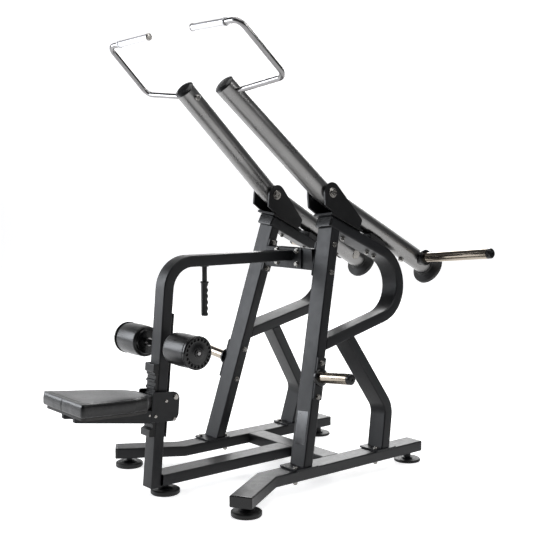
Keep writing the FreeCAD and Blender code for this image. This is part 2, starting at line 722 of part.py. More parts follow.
    # rubber stop under the lever
    y1, y2 = val("stop_start"), val("stop_end")
    gap = val("side_fit") / cos(val("rear_slope"))
    stop = [(y1, beam_top_z(y1)), (y2, beam_top_z(y2)),
            (y2 + 4, lever_under_z(y2 + 4) - gap, 3), (y1 + 3, lever_under_z(y1 + 3) - gap, 3)]
    stops.append(slab("stop_" + word, side, stop, 90.0))

    # weight storage horn low on the outer face of the upright
    out = half_wide + val("pad_plate")
    strip = slab("strip_" + word, upright_frame,
                 [(-24.5, strip_low / cos(upright_lean), 6), (24.5, strip_low / cos(upright_lean), 6),
                  (24.5, strip_high / cos(upright_lean), 6),
                  (-24.5, strip_high / cos(upright_lean), 6)],
                 val("pad_plate"), "<pad_plate>", False, "YZ_Plane",
                 half_wide if hand > 0 else -out)
    strip_holes = [drill("strip_hole_%s_%d" % (word, i), place, val("pad_plate"), M12)
                   for i, place in enumerate(store_bolts)]
    store_strips.append(cut("strip_cut_" + word, strip, strip_holes))
    seat_z = val("store_z") / cos(upright_lean)
    store_collars.append(turned("store_collar_" + word,
                                spot(upright_frame, hand * out, 0, seat_z, V(hand, 0, 0)),
                                [(store_root, 0), (40, 0), (40, 10, 2), (36, store_stop, 2),
                                 (store_root, store_stop)]))
    store_bars.append(turned("store_bar_" + word,
                             spot(upright_frame, hand * out, 0, seat_z, V(hand, 0, 0)),
                             [(21, 0), (store_root, 0), (store_root, store_stop),
                              (store_r, store_stop), (store_r, val("store_out") - out),
                              (21, val("store_out") - out)]))
    tube_caps.append(turned("store_cap_" + word,
                            spot(upright_frame, hand * val("store_out"), 0, seat_z, V(hand, 0, 0)),
                            cap_profile))

node(gather("stop_group", stops), "lever_stops")
node(gather("pivot_group", pivot_bolts), "pivot_bolts")
node(gather("strip_group", store_strips), "storage_strips")
node(gather("store_collar_group", store_collars), "storage_collars")
node(gather("store_bar_group", store_bars), "storage_horns")

# blank rating plate low on the front of the right upright
label_low = 90.0 / cos(upright_lean)
node(block("label_box", spot(UPRIGHT[1], 0, -half_deep - 1.0, label_low), 70.0, 1.0, 150.0),
     "blank_label")

# cross tube between the uprights, with an end plate against each upright
tie_body = new_body("tie_tube_body", GROUND.multiply(
    Placement(V(0, -val("tie_y"), tie_level), Rotation(V(0, 0, 1), 90))))
profile = new_sketch(tie_body, "tie_profile", "XZ_Plane")
rounded_box(profile, val("tube_deep"), "<tube_deep>", val("tube_wide"), "<tube_wide>",
            val("tube_round"))
rounded_box(profile, val("tube_deep") - 2 * wall, "<tube_deep> - 2 * <tube_wall>",
            val("tube_wide") - 2 * wall, "<tube_wide> - 2 * <tube_wall>",
            val("tube_round") - wall)
pad(tie_body, "tie_pad", profile, 2 * track, "2 * <track_half>", True)
side_knives = []
tie_plates = []
for hand in (1, -1):
    word = HAND[hand]
    face = half_wide + val("pad_plate")
    place = spot(UPRIGHT[hand], -hand * face, 0, tie_z / cos(upright_lean), V(hand, 0, 0))
    side_knives.append(block("tie_knife_" + word,
                             place.multiply(Placement(V(0, -150, 0), Rotation())), 300, 300, 300))
    plate = slab("tie_plate_" + word, UPRIGHT[hand],
                 [(-25, (tie_z - 78) / cos(upright_lean), 6), (25, (tie_z - 78) / cos(upright_lean), 6),
                  (25, (tie_z + 78) / cos(upright_lean), 6),
                  (-25, (tie_z + 78) / cos(upright_lean), 6)],
                 val("pad_plate"), "<pad_plate>", False, "YZ_Plane",
                 -face if hand > 0 else half_wide)
    holes = []
    for i, z in enumerate((tie_z + 63.0, tie_z - 63.0)):
        at = spot(UPRIGHT[hand], -hand * half_wide, 0, z / cos(upright_lean), V(hand, 0, 0))
        holes.append(drill("tie_plate_hole_%s_%d" % (word, i), at, val("pad_plate"), M12))
    tie_plates.append(cut("tie_plate_cut_" + word, plate, holes))
tie_front = -val("tie_y") - half_deep
bolt_low, bolt_high = tie_level - 25.0, tie_level + 36.0
plate_bolt_spots = [(72, bolt_low), (-72, bolt_low), (72, bolt_high), (-72, bolt_high)]
plate_thick = val("pad_plate")
holes_tube = []
holes_plate = []
for i, (x, z) in enumerate(plate_bolt_spots):
    place = spot(GROUND, x, tie_front - plate_thick, z, V(0, -1, 0))
    grip = plate_thick + val("tube_deep")
    frame_bolts.append(bolt("post_bolt_%d" % i, place, grip, M12))
    holes_tube.append(drill("post_tube_hole_%d" % i, place, grip, M12))
    holes_plate.append(drill("post_plate_hole_%d" % i, place, grip, M12))
node(cut("tie_cut", tie_body, side_knives + holes_tube), "cross_tube")

# seat post and top beam, one bent tube from the cross tube down to the floor level beam
mount = slab("post_mount", spot(GROUND, 0, tie_front - plate_thick, tie_level),
             [(-100, -48, 10), (100, -48, 10), (100, 48, 10), (-100, 48, 10)],
             plate_thick, "<pad_plate>", False, "XZ_Plane")
mount.Placement = spot(GROUND, 0, tie_front, tie_level)
tie_plates.append(cut("post_mount_cut", mount, holes_plate))
node(gather("tie_plate_group", tie_plates), "cross_tube_plates")
post_end = (post_mid_y(0), 0.0)
post = box_tube("post_tube_body", GROUND,
                [(tie_front - plate_thick, val("top_level")),
                 (-val("post_corner"), val("top_level"), val("post_radius")), post_end],
                "post_wide")
axle_y = post_mid_y(val("roller_level"))
axle_hole = rod("axle_hole", spot(GROUND, -100, axle_y, val("roller_level"), V(1, 0, 0)),
                val("axle_dia") / 2.0, 200.0, "<axle_dia> / 2")
foot_knife = knife("post_foot_knife", GROUND, post_end[0], val("post_foot_z"), (0, -1))
node(cut("post_cut", post, [foot_knife, axle_hole]), "seat_post")

# hanging hand grip under the top beam
grip_y = -525.0
grip_top = val("top_level") - half_deep
grip_base = grip_top - 226.0
node(turned("grip_rod_body", spot(GROUND, 0, grip_y, grip_base),
            [(0, 0), (8, 0), (8, 156), (11, 156), (11, 222), (20, 222, 2), (20, 226), (0, 226)]),
     "hanging_rod")
waves = [(8, 0), (14, 0, 2), (16, 3)]
for i in range(5):
    base = 10.0 + 27.0 * i
    waves += [(16, base), (13.5, base + 12, 12), (16, base + 24)]
waves += [(16, 148), (19, 150, 1), (19, 155, 1), (8, 155)]
node(turned("hanging_grip_body", spot(GROUND, 0, grip_y, grip_base + 0.5), waves), "hanging_grip")

# ---------------------------------------------------------------- rack and guide rail

front_here = (post_mid_y(val("seat_top")) - post_shift + val("seat_front")) * cos(lean)
pitch = val("rack_pitch")
tip = front_here - val("tooth_tip")
root = front_here - val("tooth_root")
valley_zero = -112.0
outline = [(front_here, -187.5), (front_here - 28.0, -187.5, 4), (front_here - 28.0, -157.5, 4),
           (tip, -153.5)]
for k in range(-1, 7):
    middle = valley_zero + pitch * k
    outline += [(tip, middle - 11.0), (root, middle - 7.0), (root, middle + 7.0),
                (tip, middle + 11.0)]
outline += [(tip, 88.0), (front_here - 27.0, 93.0, 4), (front_here - 27.0, 127.5, 4),
            (front_here, 127.5)]
node(slab("rack_body", SEAT, outline, 2 * val("rack_half"), "2 * <rack_half>"), "seat_rack")

rear_here = front_here + val("tube_deep")
web = val("rail_deep") - 6.0
rail = new_body("rail_body", spot(SEAT, 0, rear_here, -197.0))
rail_profile = new_sketch(rail, "rail_profile", "XY_Plane")
draw(rail_profile, [(-6, 0), (6, 0), (6, web), (15, web), (15, web + 6), (-15, web + 6),
                    (-15, web), (-6, web)])
rail_top = (val("top_level") - 223.0 - val("seat_top")) / cos(lean) + rear_here * tan(lean)
pad(rail, "rail_pad", rail_profile, rail_top + 197.0)
rail_hole = rod("rail_hole", spot(SEAT, -20, rear_here + 9, rail_top - 16.0, V(1, 0, 0)), 5.0, 40.0)
node(cut("rail_cut", rail, [rail_hole]), "guide_rail")

# ---------------------------------------------------------------- sliding seat

half = val("seat_half")
seat_plan = [(-half, 0, 24), (half, 0, 24), (150, 157, 60), (134, 268, 60), (104, 352, 60),
             (62, val("seat_long"), 30), (-62, val("seat_long"), 30), (-104, 352, 60),
             (-134, 268, 60), (-150, 157, 60)]
cushion = slab("seat_pad_body", SEAT, seat_plan, val("seat_thick"), "<seat_thick>", False,
               "XY_Plane", -val("seat_thick"))
node(cushion, "seat_pad")
board_plan = [(x * 0.93, 12 + (y - 12) * 0.97 if y > 0 else 12, 20) for x, y, r in seat_plan]
node(slab("seat_board_body", SEAT, board_plan, val("board_thick"), "<board_thick>", False,
          "XY_Plane", -val("seat_thick") - val("board_thick")), "seat_board")

shelf = -val("seat_thick") - val("board_thick")
plate_x = 50.0
plate_t = 7.0
plate_plan = [(400, -120, 6), (538, -120, 35), (538, 9, 35), (400, 9, 6)]
rail_plan = [(34, shelf), (34, -98, 8), (401, -124, 4), (430, -122, 2), (430, -74), (400, shelf)]
pieces = []
for hand in (1, -1):
    word = HAND[hand]
    pieces.append(slab("carriage_plate_" + word, SEAT, plate_plan, plate_t, None, False,
                       "YZ_Plane", plate_x if hand > 0 else -plate_x - plate_t))
    inner = 39.0
    pieces.append(slab("carriage_tongue_" + word, SEAT, rail_plan, plate_x - inner, None, False,
                       "YZ_Plane", inner if hand > 0 else -plate_x))
    pieces.append(slab("carriage_skin_" + word, SEAT,
                       [(34, shelf), (34, -98, 8), (400, -123.9), (400, shelf)], 5.0, None, False,
                       "YZ_Plane", plate_x if hand > 0 else -plate_x - 5.0))
    for i, w in enumerate((-30.0, -112.0)):
        width = plate_x - val("rack_half") - 1.0
        x_mid = hand * (val("rack_half") + 1.0 + width / 2.0)
        pieces.append(block("slider_%s_%d" % (word, i),
                            spot(SEAT, x_mid, front_here - 12.0 - val("side_fit"), w), width,
                            12.0, 24.0))
pieces.append(block("carriage_tie_front", spot(SEAT, 0, 60.0, shelf - 20.0), 80.0, 60.0, 20.0))
pieces.append(block("carriage_tie_rear", spot(SEAT, 0, 310.0, shelf - 6.0), 80.0, 50.0, 6.0))
guide_v = rear_here + val("rail_deep") + val("guide_dia") / 2.0 + val("side_fit")
guide_r = val("guide_dia") / 2.0
guide_spots = [(guide_v, -15.0), (guide_v, -110.0)]
pawl_v, pawl_w, pawl_pin = 392.0, -90.0, 5.0
tools = []
for i, (v, w) in enumerate(guide_spots):
    tools.append(rod("guide_bore_%d" % i, spot(SEAT, -70, v, w, V(1, 0, 0)), guide_r, 140.0,
                     "<guide_dia> / 2"))
tools.append(rod("pawl_bore", spot(SEAT, -70, pawl_v, pawl_w, V(1, 0, 0)), pawl_pin, 140.0))
node(cut("carriage_cut", fuse("carriage_weld", pieces), tools), "seat_carriage")

face_x = plate_x + plate_t
pins = []
for i, (v, w) in enumerate(guide_spots):
    pin = rod("guide_pin_%d" % i, spot(SEAT, -face_x, v, w, V(1, 0, 0)), guide_r, 2 * face_x,
              "<guide_dia> / 2")
    knob = 13.0 if i == 0 else 9.0
    ends = [turned("guide_head_%d_%d" % (i, k), spot(SEAT, way * face_x, v, w, V(way, 0, 0)),
                   [(0, 0), (knob, 0), (knob, 2), (knob - 2.5, 6.5, 2), (0, 6.5)])
            for k, way in enumerate((1, -1))]
    pins.append(fuse("guide_bolt_%d" % i, [pin] + ends))
pawl_rod = rod("pawl_rod", spot(SEAT, -55.0, pawl_v, pawl_w, V(1, 0, 0)), pawl_pin, 110.0)
pins.append(pawl_rod)
for hand in (1, -1):
    word = HAND[hand]
    for i, (v, w) in enumerate(((470.0, -30.0), (420.0, -94.0))):
        pins.append(turned("carriage_screw_%s_%d" % (word, i),
                           spot(SEAT, hand * face_x, v, w, V(hand, 0, 0)),
                           [(0, 0), (8, 0), (8, 2), (5.5, 5, 1.5), (0, 5)]))
node(gather("guide_pin_group", pins), "seat_bolts")

# latch pawl hanging in front of the rack, shown just clear of the teeth
tooth_v = root - 1.0 - pawl_v
tooth_w = valley_zero - pawl_w
open_turn = 16.0


def swing(v, w):
    """Turn a point of the engaged pawl about its pin into the released rest position."""
    a = math.radians(-open_turn)
    return (pawl_v + v * math.cos(a) - w * math.sin(a), pawl_w + v * math.sin(a) + w * math.cos(a))


engaged = [(-9, 9, 7), (9, 9, 7), (tooth_v - 6, tooth_w + 9, 4), (tooth_v, tooth_w + 4),
           (tooth_v, tooth_w - 4), (tooth_v - 9, tooth_w - 7, 3), (0, -11, 6), (-70, -14, 4),
           (-70, -6, 4), (-9, -6, 2)]
pawl_plan = []
for point in engaged:
    v, w = swing(point[0], point[1])
    pawl_plan.append((v, w) + tuple(point[2:]))
pawl = slab("pawl_body", SEAT, pawl_plan, 60.0)
pawl_hole = rod("pawl_hole", spot(SEAT, -40, pawl_v, pawl_w, V(1, 0, 0)),
                pawl_pin + val("run_fit"), 80.0)
node(cut("pawl_cut", pawl, [pawl_hole]), "seat_latch")

# ---------------------------------------------------------------- thigh rollers

roller_r = val("roller_dia") / 2.0
bore = val("axle_dia") / 2.0 + val("run_fit")
roller_in, roller_out = val("roller_in"), val("roller_out")
lid = 12.0
ROLL = {1: spot(GROUND, 0, axle_y, val("roller_level"), V(1, 0, 0)),
        -1: spot(GROUND, 0, axle_y, val("roller_level"), V(-1, 0, 0))}
axle = [rod("axle_rod", spot(GROUND, -276.0, axle_y, val("roller_level"), V(1, 0, 0)),
            val("axle_dia") / 2.0, 552.0, "<axle_dia> / 2")]
for hand in (1, -1):
    word = HAND[hand]
    place = ROLL[hand]
    foam = [(bore, roller_in + 6), (roller_r - 7, roller_in + 6, 5), (roller_r, roller_in + 14, 6),
            (roller_r, roller_out - lid - 5, 5), (roller_r - 5, roller_out - lid),
            (bore, roller_out - lid)]
    node(turned("roller_body_" + word, place, foam), "thigh_roller_" + word)
    outer_cap = turned("roller_lid_" + word, place,
                       [(bore, roller_out - lid), (roller_r, roller_out - lid),
                        (roller_r, roller_out - 4, 3), (roller_r - 5, roller_out, 2),
                        (50, roller_out), (49, roller_out - 1.5), (30, roller_out - 1.5),
                        (26, roller_out), (bore, roller_out)])
    scoops = []
    for k in range(20):
        angle = 2 * math.pi * k / 20.0
        scoops.append(rod("scoop_%s_%d" % (word, k),
                          place.multiply(Placement(V(57.0 * math.cos(angle),
                                                     57.0 * math.sin(angle),
                                                     roller_out - 6), Rotation())),
                          6.2, 10.0))
    inner_cap = turned("roller_hub_" + word, place,
                       [(bore, roller_in), (roller_r - 20, roller_in, 3),
                        (roller_r - 14, roller_in + 6), (bore, roller_in + 6)])
    node(gather("roller_cap_group_" + word,
                [cut("roller_lid_cut_" + word, outer_cap, scoops), inner_cap]),
         "roller_caps_" + word)
    axle.append(turned("axle_collar_" + word, place,
                       [(12, 95), (19, 95), (19, roller_in - val("side_fit")),
                        (12, roller_in - val("side_fit"))]))
    axle.append(turned("axle_end_" + word, place,
                       [(0, 270), (11, 270), (11, roller_out + val("side_fit")),
                        (17, roller_out + val("side_fit")), (17, roller_out + 3.3),
                        (9, roller_out + 3.3), (8, roller_out + 8, 1.5), (0, roller_out + 8)]))
node(fuse("axle_weld", axle), "roller_axle")

# ---------------------------------------------------------------- levers

front_s, rear_s = val("front_slope"), val("rear_slope")
lever_r = val("lever_dia") / 2.0
horn_r = val("horn_dia") / 2.0
root_r = horn_r - val("horn_step")
collar_out = 75.0


def on_front(t):
    return val("pivot_y") - t * cos(front_s), val("pivot_z") + t * sin(front_s)


def on_rear(t):
    return val("pivot_y") + t * cos(rear_s), val("pivot_z") - t * sin(rear_s)


def lever_tube(name, frame):
    first = on_front(val("front_arm"))
    last = on_rear(val("rear_arm"))
    heading = math.atan2(val("pivot_z") - first[1], val("pivot_y") - first[0])
    body = new_body(name, frame.multiply(Placement(V(0, first[0], first[1]),
                                                   Rotation(V(1, 0, 0), math.degrees(heading)))))
    bend_turn = math.radians(front_s - rear_s)
    spine = new_sketch(body, name + "_spine", "YZ_Plane")
    draw(spine, [(0, 0), (val("front_arm"), 0, val("lever_bend")),
                 (val("front_arm") + val("rear_arm") * math.cos(bend_turn),
                  val("rear_arm") * math.sin(bend_turn))], closed=False)
    section = new_sketch(body, name + "_section", "XZ_Plane")
    ring(section, "<lever_dia> / 2", lever_r)
    ring(section, "<lever_dia> / 2 - <lever_wall>", lever_r - val("lever_wall"))
    doc.recompute()
    pipe = body.newObject("PartDesign::AdditivePipe", name + "_pipe")
    pipe.Profile = section
    pipe.Spine = (spine, ["Edge1", "Edge2", "Edge3"])
    return body


for hand in (1, -1):
    word = HAND[hand]
    side = SIDE[hand]
    p_y, p_z = val("pivot_y"), val("pivot_z")
    bush_half = val("cheek_gap") / 2.0 - val("side_fit")
    horn_y, horn_z = on_rear(val("horn_at"))
    bar_y, bar_z = on_front(val("bar_at"))
    tube = lever_tube("lever_raw_" + word, side)
    stub_y, stub_z = on_rear(585.0)
    down = V(0, -sin(rear_s), -cos(rear_s))
    stub_place = spot(side, 0, stub_y - lever_r * sin(rear_s), stub_z - lever_r * cos(rear_s), down)
    tools = [rod("lever_bush_bore_" + word, spot(side, -100, p_y, p_z, V(1, 0, 0)),
                 val("bush_dia") / 2.0, 200.0, "<bush_dia> / 2"),
             rod("lever_horn_bore_" + word, spot(side, -100, horn_y, horn_z, V(1, 0, 0)),
                 root_r, 200.0, "<horn_dia> / 2 - <horn_step>"),
             rod("lever_bar_bore_" + word, spot(side, -100, bar_y, bar_z, V(1, 0, 0)),
                 val("bar_dia") / 2.0, 200.0, "<bar_dia> / 2"),
             drill("stub_hole_" + word, stub_place, 8.0, 14.0)]
    node(cut("lever_cut_" + word, tube, tools), "lever_" + word)

    bush = turned("lever_bush_body_" + word, spot(side, -bush_half, p_y, p_z, V(1, 0, 0)),
                  [(val("pin_dia") / 2.0 + val("run_fit"), 0), (val("bush_dia") / 2.0, 0),
                   (val("bush_dia") / 2.0, 2 * bush_half),
                   (val("pin_dia") / 2.0 + val("run_fit"), 2 * bush_half)])
    node(bush, "lever_bush_" + word)

    end_y, end_z = on_rear(val("rear_arm"))
    along = V(0, cos(rear_s), -sin(rear_s))
    b_r, b_d = val("bumper_radius"), val("bumper_deep")
    node(turned("bumper_body_" + word, spot(side, 0, end_y, end_z, along),
                [(0, 0), (lever_r + 3, 0, 2), (lever_r + 5, 8, 10), (b_r - 2, b_d - 17, 4),
                 (b_r, b_d - 13), (b_r, b_d), (0, b_d)]), "lever_bumper_" + word)

    tip_y, tip_z = on_front(val("front_arm"))
    node(turned("lever_cap_body_" + word, spot(side, 0, tip_y, tip_z, V(0, -cos(front_s),
                                                                        sin(front_s))),
                [(0, -15), (lever_r - val("lever_wall") - 0.3, -15),
                 (lever_r - val("lever_wall") - 0.3, 0), (lever_r, 0), (lever_r, 4, 4),
                 (lever_r - 16, 11, 12), (0, 12)]), "lever_cap_" + word)

    # loading horn through the rear arm, with a collar as the plate stop
    out_axis = V(hand, 0, 0)
    collar = turned("horn_collar_raw_" + word, spot(side, 0, horn_y, horn_z, out_axis),
                    [(root_r, 30), (34, 30), (34, 58, 3), (39, 64, 2), (39, collar_out, 3),
                     (root_r, collar_out)])
    collar_tool = doc.addObject("Part::Cylinder", "horn_collar_tool_" + word)
    collar_tool.Radius = lever_r
    collar_tool.Height = 200.0
    collar_tool.Placement = spot(side, 0, horn_y - 100 * cos(rear_s), horn_z + 100 * sin(rear_s),
                                 along)
    node(cut("horn_collar_cut_" + word, collar, [collar_tool]), "horn_collar_" + word)
    node(turned("horn_body_" + word, spot(side, 0, horn_y, horn_z, out_axis),
                [(horn_r - 4, -lever_r), (root_r, -lever_r), (root_r, collar_out),
                 (horn_r, collar_out), (horn_r, val("horn_out")),
                 (horn_r - 4, val("horn_out"))]), "loading_horn_" + word)
    node(turned("horn_cap_body_" + word,
                spot(side, hand * val("horn_out"), horn_y, horn_z, out_axis),
                [(0, -12), (horn_r - 4.2, -12), (horn_r - 4.2, 0), (horn_r - 0.7, 0),
                 (horn_r - 0.7, 16, 4), (20, 21, 4), (7, 21), (7, 17), (0, 17)]),
         "horn_cap_" + word)

    # bent handle bar with its hand grip
    reach = val("bar_reach")
    rise = val("bar_rise")
    points = [V(hand * -56, bar_y, bar_z), V(hand * reach, bar_y, bar_z),
              V(hand * (reach + 2), bar_y - rise * 1.075, bar_z + rise),
              V(hand * 46.0, bar_y - rise * 1.03, bar_z + rise + 43.0)]
    bar = round_bar("handle_bar_raw_" + word, side, points, 42.0, "<bar_dia> / 2")
    hollow = round_bar("handle_bar_void_" + word, side, points, 42.0,
                       "<bar_dia> / 2 - <tube_wall>")
    node(cut("handle_bar_cut_" + word, bar, [hollow]), "handle_bar_" + word)
    along_grip = points[3] - points[2]
    length = along_grip.Length
    unit = V(along_grip).normalize()
    bar_r, grip_r = val("bar_dia") / 2.0, val("grip_dia") / 2.0
    grip_len = 232.0
    start = points[3] - unit * grip_len
    sleeve = turned("grip_sleeve_" + word, spot(side, start.x, start.y, start.z, unit),
                    [(bar_r, 0), (grip_r + 3, 0), (grip_r + 3, 5, 1), (grip_r, 5),
                     (grip_r, grip_len + 2), (bar_r, grip_len + 2)])
    node(sleeve, "hand_grip_" + word)
    plugs = [turned("grip_plug_" + word, spot(side, points[3].x, points[3].y, points[3].z, unit),
                    [(0, 0), (bar_r, 0), (bar_r, 2), (grip_r + 1.5, 2),
                     (grip_r + 1.5, 6, 1), (11, 10, 3), (0, 10)]),
             turned("horn_plug_" + word, spot(side, -hand * lever_r, horn_y, horn_z, V(-hand, 0, 0)),
                    [(0, -10), (horn_r - 4.2, -10), (horn_r - 4.2, 0), (root_r, 0),
                     (root_r - 2, 3, 1), (0, 3)]),
             bolt("stub_bolt_" + word, stub_place, 8.0, 14.0, False, True),
             turned("bar_plug_" + word, spot(side, -hand * 56, bar_y, bar_z, V(-hand, 0, 0)),
                    [(0, 0), (bar_r + 1, 0), (bar_r + 1, 2), (bar_r - 2, 5, 2), (0, 5)])]
    node(gather("lever_fittings_group_" + word, plugs), "lever_fittings_" + word)

node(gather("tube_cap_group", tube_caps), "tube_caps")
node(gather("frame_bolt_group", frame_bolts), "frame_bolts")

# ---------------------------------------------------------------- checks and export

doc.recompute()
problems = []
for obj in doc.Objects:
    for state in obj.State:
        if state in ("Invalid", "Error"):
            problems.append("%s (%s) %s" % (obj.Name, obj.Label, state))
box = FreeCAD.BoundBox()
for obj in nodes:
    shape = obj.Shape
    if shape.isNull() or not shape.isValid() or shape.Volume <= 0:
        problems.append("bad shape " + obj.Label)
        continue
    box.add(shape.BoundBox)
if problems:
    raise RuntimeError("; ".join(problems))
for obj in nodes:
    obj.Shape.exportStep("parts/%s.step" % obj.Label)
print("nodes", len(nodes), "box", box, "middle y", MID_Y)
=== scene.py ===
import bpy
import json
import math
from mathutils import Matrix, Vector, noise


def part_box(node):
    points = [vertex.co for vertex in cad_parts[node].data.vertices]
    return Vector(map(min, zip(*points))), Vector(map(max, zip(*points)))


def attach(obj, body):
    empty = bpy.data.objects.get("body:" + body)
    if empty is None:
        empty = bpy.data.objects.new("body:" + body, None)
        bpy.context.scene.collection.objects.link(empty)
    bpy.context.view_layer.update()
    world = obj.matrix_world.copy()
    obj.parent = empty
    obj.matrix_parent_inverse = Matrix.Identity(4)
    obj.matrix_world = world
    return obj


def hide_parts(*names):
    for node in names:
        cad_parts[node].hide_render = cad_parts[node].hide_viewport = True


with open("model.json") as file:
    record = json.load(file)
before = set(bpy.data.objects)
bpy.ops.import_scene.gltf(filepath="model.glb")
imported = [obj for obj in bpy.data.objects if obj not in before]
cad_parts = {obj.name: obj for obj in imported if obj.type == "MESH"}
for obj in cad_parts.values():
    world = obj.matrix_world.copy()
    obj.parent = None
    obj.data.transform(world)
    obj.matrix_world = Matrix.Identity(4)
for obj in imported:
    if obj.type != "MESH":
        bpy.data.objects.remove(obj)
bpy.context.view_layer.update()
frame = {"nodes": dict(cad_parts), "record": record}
nodes = frame["nodes"]
scene = bpy.context.scene

# ------------------------------------------------------------------ camera

EYE = Vector((3.5089, -2.7869, 1.3470))
YAW, PITCH = math.radians(50.72), math.radians(-4.785)
SENSOR_MM = 36.0
LENS_MM = 65.52
FAR_CLIP = 60.0
ahead = Vector((-math.sin(YAW) * math.cos(PITCH), math.cos(YAW) * math.cos(PITCH),
                math.sin(PITCH)))
right = Vector((math.cos(YAW), math.sin(YAW), 0.0))
above = right.cross(ahead)
lens = bpy.data.cameras.new("camera")
lens.sensor_width = SENSOR_MM
lens.lens = LENS_MM
lens.clip_end = FAR_CLIP
camera = bpy.data.objects.new("camera", lens)
turn = Matrix((right, above, -ahead)).transposed().to_4x4()
camera.matrix_world = Matrix.Translation(EYE) @ turn
scene.collection.objects.link(camera)
scene.camera = camera

# ------------------------------------------------------------------ material tools

EDGE_SAMPLES = 4
EDGE_DOT_DROP = (0.012, 0.16)   # how far the rounded normal leans at the start and end of the edge mask, which carries a painted edge highlight and wear


class Graph:
    """A material and short ways to add and join its nodes."""

    def __init__(self, name):
        self.mat = bpy.data.materials.new(name)
        self.mat.use_nodes = True
        self.tree = self.mat.node_tree
        self.shader = self.tree.nodes["Principled BSDF"]
        self.coord = self.add("ShaderNodeTexCoord").outputs["Object"]

    def add(self, kind, **props):
        node = self.tree.nodes.new(kind)
        for key, value in props.items():
            setattr(node, key, value)
        return node

    def link(self, a, b):
        self.tree.links.new(a, b)

    def noise(self, scale, detail=3.0, rough=0.5, stretch=None):
        node = self.add("ShaderNodeTexNoise")
        node.inputs["Scale"].default_value = scale
        node.inputs["Detail"].default_value = detail
        node.inputs["Roughness"].default_value = rough
        self.link(self.stretched(stretch), node.inputs["Vector"])
        return node.outputs["Fac"]

    def stretched(self, stretch):
        if stretch is None:
            return self.coord
        node = self.add("ShaderNodeMapping")
        node.inputs["Scale"].default_value = stretch
        self.link(self.coord, node.inputs["Vector"])
        return node.outputs["Vector"]

    def cells(self, scale, feature="DISTANCE_TO_EDGE"):
        node = self.add("ShaderNodeTexVoronoi", feature=feature)
        node.inputs["Scale"].default_value = scale
        self.link(self.coord, node.inputs["Vector"])
        return node.outputs["Distance"]

    def span(self, value, low, high, to_low=0.0, to_high=1.0):
        node = self.add("ShaderNodeMapRange")
        for key, number in zip(("From Min", "From Max", "To Min", "To Max"),
                               (low, high, to_low, to_high)):
            node.inputs[key].default_value = number
        self.link(value, node.inputs["Value"])
        return node.outputs["Result"]

    def math(self, kind, a, b):
        node = self.add("ShaderNodeMath", operation=kind)
        for socket, value in zip(node.inputs, (a, b)):
            if isinstance(value, (int, float)):
                socket.default_value = value
            else:
                self.link(value, socket)
        return node.outputs["Value"]

    def blend(self, factor, low, high):
        node = self.add("ShaderNodeMix", data_type="RGBA")
        self.link(factor, node.inputs["Factor"])
        for socket, colour in ((node.inputs["A"], low), (node.inputs["B"], high)):
            if isinstance(colour, tuple):
                socket.default_value = colour + (1.0,)
            else:
                self.link(colour, socket)
        return node.outputs["Result"]

    def edge(self, radius):
        """Edge mask for a painted edge highlight and wear, 0 on flats and 1 on edges, and the
        normal of the rounded edge.
        """
        low, high = EDGE_DOT_DROP
        soft = self.add("ShaderNodeBevel", samples=EDGE_SAMPLES)
        soft.inputs["Radius"].default_value = radius
        flat = self.add("ShaderNodeNewGeometry")
        dot = self.add("ShaderNodeVectorMath", operation="DOT_PRODUCT")
        self.link(soft.outputs["Normal"], dot.inputs[0])
        self.link(flat.outputs["Normal"], dot.inputs[1])
        return self.span(dot.outputs["Value"], 1.0 - low, 1.0 - high), soft.outputs["Normal"]

    def bump(self, height, distance, strength=1.0, normal=None):
        node = self.add("ShaderNodeBump")
        node.inputs["Strength"].default_value = strength
        node.inputs["Distance"].default_value = distance
        self.link(height, node.inputs["Height"])
        if normal is not None:
            self.link(normal, node.inputs["Normal"])
        return node.outputs["Normal"]

    def finish(self, colour, rough, normal, **constants):
        """Joins the three maps to the shader and sets constants on its own sockets."""
        self.link(colour, self.shader.inputs["Base Color"])
        self.link(rough, self.shader.inputs["Roughness"])
        self.link(normal, self.shader.inputs["Normal"])
        for key, value in constants.items():
            self.shader.inputs[key.replace("_", " ")].default_value = value
        return self.mat


def powder_coat(name, dark, light, low_rough, high_rough, edge_highlight_and_wear):
    """Fine orange-peel powder coat with faint mottling and lighter edges, a painted edge highlight
    that also stands for rubbed wear.
    """
    g = Graph(name)
    cloud = g.noise(7.0, 4.0, 0.6)
    grain = g.noise(620.0, 2.0, 0.6)
    colour = g.blend(g.span(cloud, 0.3, 0.7), dark, light)
    edge, rounded = g.edge(0.0022)
    # painted edge highlight: the edges blend in patches to the lighter bluish colour, which also
    # stands for rubbed wear
    patchy = g.math("MULTIPLY", edge, g.span(g.noise(46.0, 4.0, 0.7), 0.3, 0.62))
    colour = g.blend(patchy, colour, edge_highlight_and_wear)
    rough = g.span(g.math("ADD", g.noise(30.0, 5.0, 0.7), g.math("MULTIPLY", grain, 0.35)),
                   0.4, 0.95, low_rough, high_rough)
    normal = g.bump(grain, 0.00022, 0.55, rounded)
    return g.finish(colour, rough, normal, Specular_IOR_Level=0.27)


def brushed(name, dark, light, low_rough, high_rough, stretch, depth=0.00006):
    """Metal with fine drawn lines, soft smudges and a painted highlight that makes the edges
    slightly brighter.
    """
    g = Graph(name)
    lines = g.noise(260.0, 4.0, 0.7, stretch)
    smudge = g.noise(14.0, 4.0, 0.65)
    mix = g.math("ADD", g.math("MULTIPLY", lines, 0.55), g.math("MULTIPLY", smudge, 0.45))
    colour = g.blend(g.span(mix, 0.35, 0.65), dark, light)
    rough = g.span(mix, 0.3, 0.7, low_rough, high_rough)
    # painted highlight: edges are blended halfway to the light colour
    edge, rounded = g.edge(0.0012)
    colour = g.blend(g.math("MULTIPLY", edge, 0.5), colour, light)
    normal = g.bump(lines, depth, 0.5, rounded)
    return g.finish(colour, rough, normal, Metallic=1.0)


